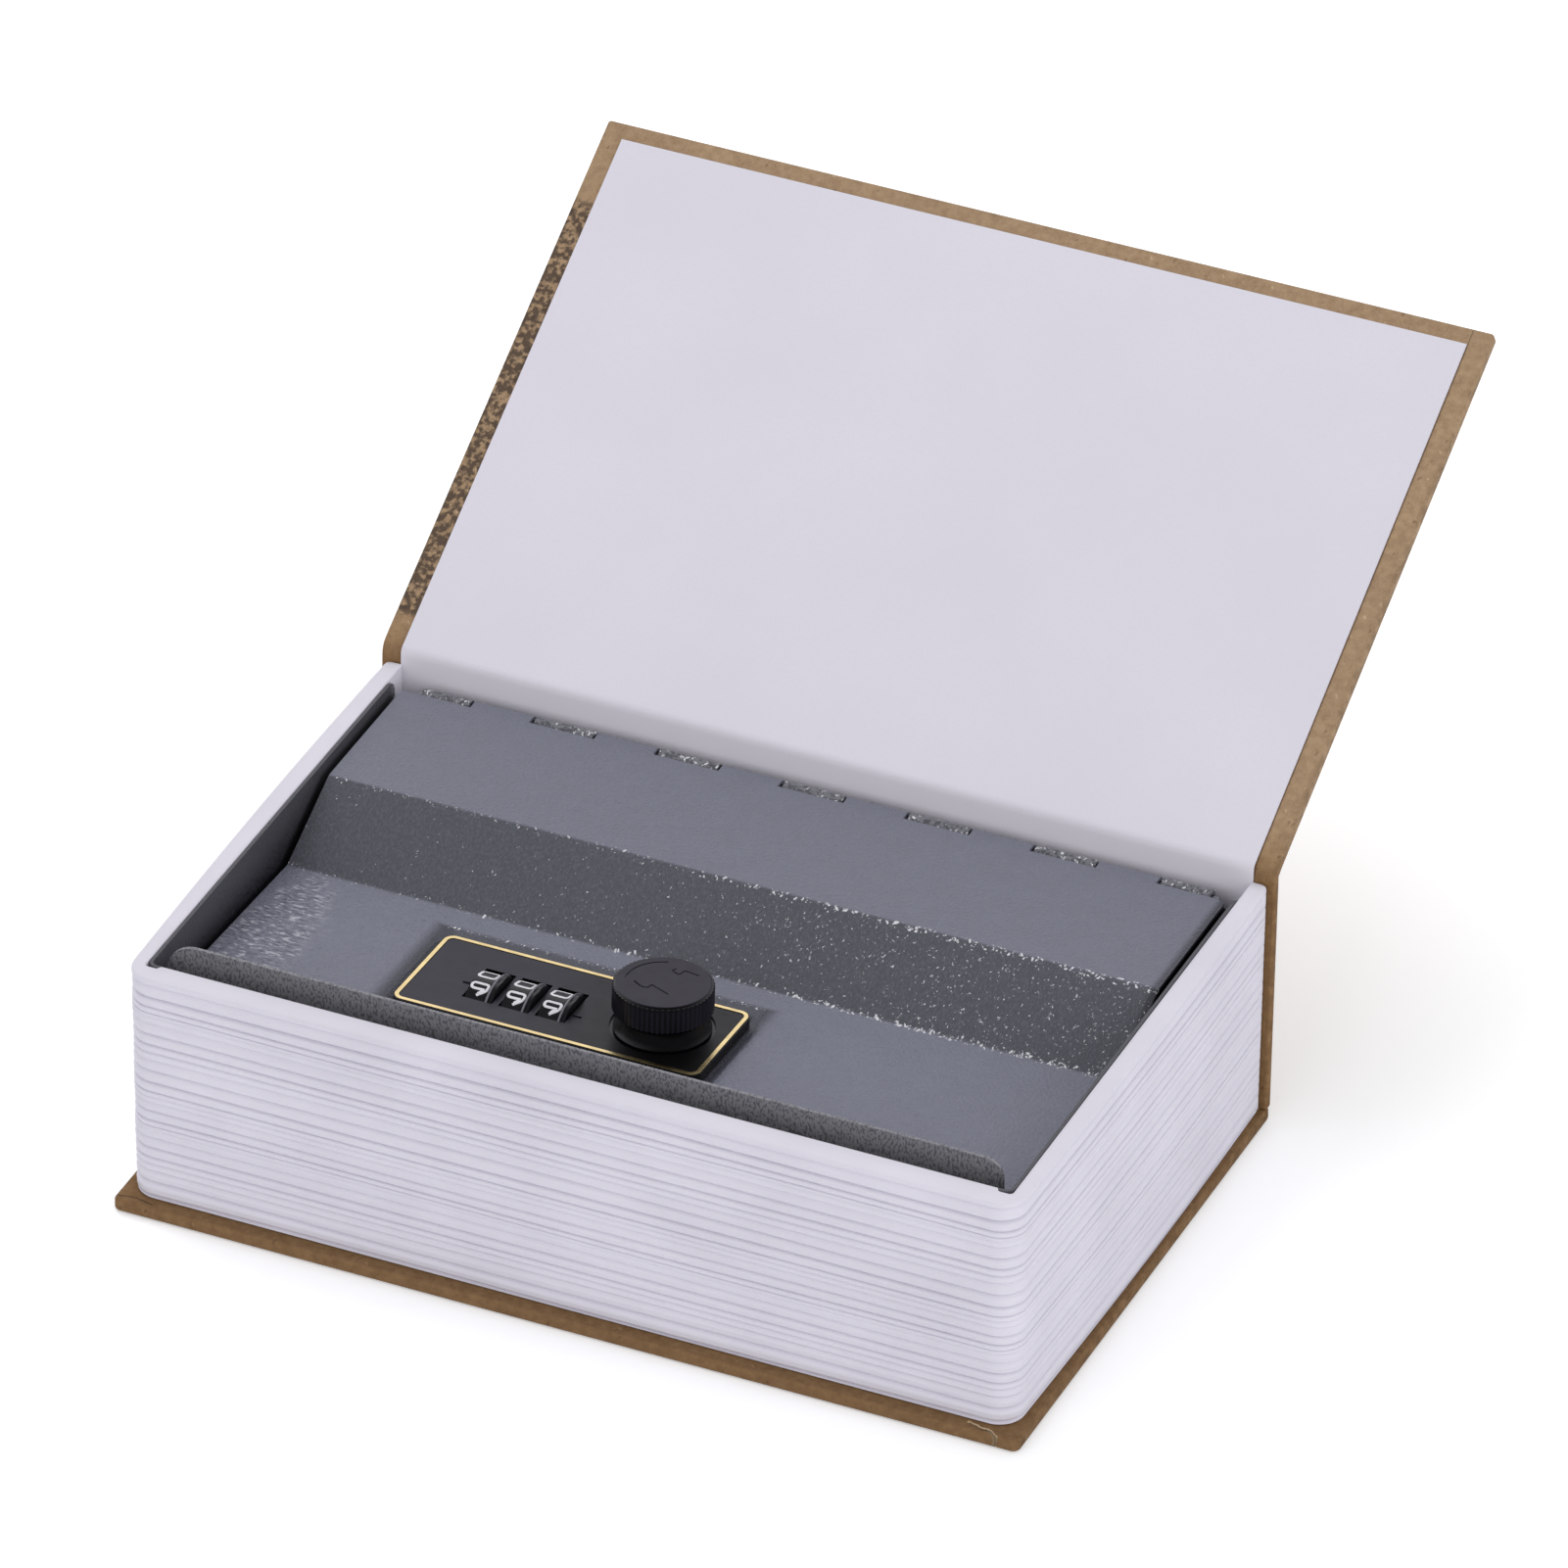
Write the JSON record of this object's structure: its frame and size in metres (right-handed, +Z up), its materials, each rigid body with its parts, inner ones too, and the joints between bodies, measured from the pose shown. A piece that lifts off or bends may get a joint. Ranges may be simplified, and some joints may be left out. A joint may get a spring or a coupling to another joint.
{
  "type": "book diversion safe",
  "caption": "Hollow book that hides a small steel cash box: hinged cover, stepped lid on a rolled hinge, and a combination lock with number wheels and a latch knob.",
  "frame": {"origin": "centre of the back cover's underside, on which the book stands", "axes": "+X along the spine, to the right as seen from the fore edge; +Y from the fore edge to the spine; +Z up"},
  "size_m": [0.18, 0.216, 0.1121],
  "materials": {
    "kraft_paper": "brown kraft paper over greyboard, mottled and slightly worn at the corners",
    "white_paper": "matt white endpaper",
    "page_plastic": "satin white moulding with page lines",
    "hammered_paint": "blue-grey hammered paint, speckled along the bends",
    "bare_steel": "zinc-plated",
    "black_plastic": "black moulding, satin",
    "gold_foil": "polished gold colour",
    "brass": "bare spring brass"
  },
  "bodies": {
    "case": {"back_cover_board": "kraft_paper", "spine_board": "kraft_paper", "back_joint_strip": "kraft_paper", "front_joint_strip": "kraft_paper", "endpaper_joint": "white_paper", "spine_lining": "white_paper", "page_tray": "page_plastic", "steel_box": "hammered_paint", "hinge_rod": "bare_steel", "front_ledge": "hammered_paint", "latch_keeper": "bare_steel"},
    "cover": {"front_cover_board": "kraft_paper", "cover_pastedown": "white_paper"},
    "lid": {"lid": "hammered_paint", "lock_plate": "black_plastic", "gold_trim": "gold_foil", "wheel_axle": "bare_steel", "lock_housing": "black_plastic", "detent_spring": "brass", "housing_screw_1": "bare_steel", "housing_screw_2": "bare_steel"},
    "wheel_1": {"number_wheel_1": "black_plastic"},
    "wheel_2": {"number_wheel_2": "black_plastic"},
    "wheel_3": {"number_wheel_3": "black_plastic"},
    "latch": {"knob": "black_plastic", "knob_spindle": "bare_steel", "latch_cam": "bare_steel", "cam_washer": "bare_steel", "cam_nut": "bare_steel"},
    "reset": {"reset_slide": "bare_steel"}
  },
  "joints": [
    {"name": "cover_hinge", "type": "hinge", "parent": "case", "child": "cover", "pos_m": [0, 0.0578, 0.0547], "axis": [-1, 0, 0], "range_deg": [-150, 30], "deforming": ["front_joint_strip", "endpaper_joint"]},
    {"name": "lid_hinge", "type": "hinge", "parent": "case", "child": "lid", "pos_m": [0, 0.0529, 0.0481], "axis": [-1, 0, 0], "range_deg": [0, 100]},
    {"name": "knob_turn", "type": "hinge", "parent": "lid", "child": "latch", "pos_m": [0.0031, -0.0201, 0.04214], "axis": [0, -0.0593, -0.9982], "range_deg": [0, 90]},
    {"name": "wheel_1_spin", "type": "hinge", "parent": "lid", "child": "wheel_1", "pos_m": [-0.03065, -0.02202, 0.03849], "axis": [1, 0, 0], "continuous": true},
    {"name": "wheel_2_spin", "type": "hinge", "parent": "lid", "child": "wheel_2", "pos_m": [-0.0234, -0.02202, 0.03849], "axis": [1, 0, 0], "continuous": true},
    {"name": "wheel_3_spin", "type": "hinge", "parent": "lid", "child": "wheel_3", "pos_m": [-0.01615, -0.02202, 0.03849], "axis": [1, 0, 0], "continuous": true},
    {"name": "reset_travel", "type": "slide", "parent": "lid", "child": "reset", "axis": [1, 0, 0], "range_m": [0, 0.003]}
  ]
}
